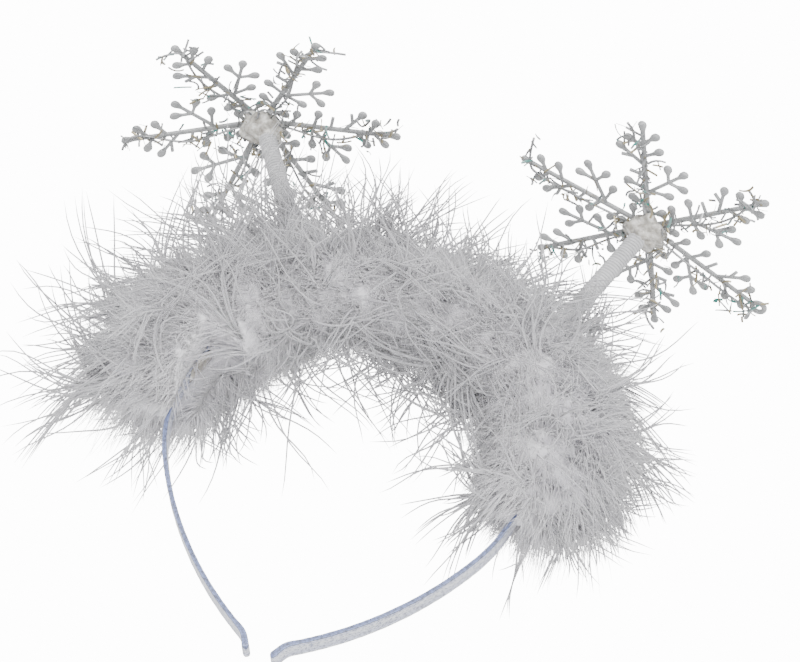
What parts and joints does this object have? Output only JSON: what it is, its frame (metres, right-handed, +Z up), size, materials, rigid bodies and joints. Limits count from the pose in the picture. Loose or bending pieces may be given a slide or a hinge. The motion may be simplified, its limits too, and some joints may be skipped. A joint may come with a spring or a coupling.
{
  "type": "snowflake headband with feather trim",
  "caption": "Slim sprung headband with a deep feather trim over its upper arc, coiled spring stalks rising through it and branching snowflakes with tinsel on top.",
  "frame": {"origin": "middle of the band's inner face at the crown, where the headband sits on the head", "axes": "+Z up through the crown, +X to the wearer's left across the band, -Y to the front"},
  "size_m": [0.2666, 0.114, 0.2293],
  "materials": {
    "band": "band wrapped in glossy pearly film with fine glitter flecks",
    "feather": "soft white marabou down with long loose wisps",
    "glue": "cloudy yellowish hot glue with bright glints",
    "spring": "closely coiled wire coated white, satin",
    "snowflake": "clear frosted plastic with a fine glitter grain",
    "tinsel": "iridescent film strips that glint teal, green and amber"
  },
  "bodies": {
    "root": {"band": "band", "fur_trim": "feather", "glue_patch": "glue", "spring_left": "spring", "snowflake_left": "snowflake", "tinsel_left": "tinsel", "glue_left": "glue", "spring_right": "spring", "snowflake_right": "snowflake", "tinsel_right": "tinsel", "glue_right": "glue"}
  },
  "joints": []
}
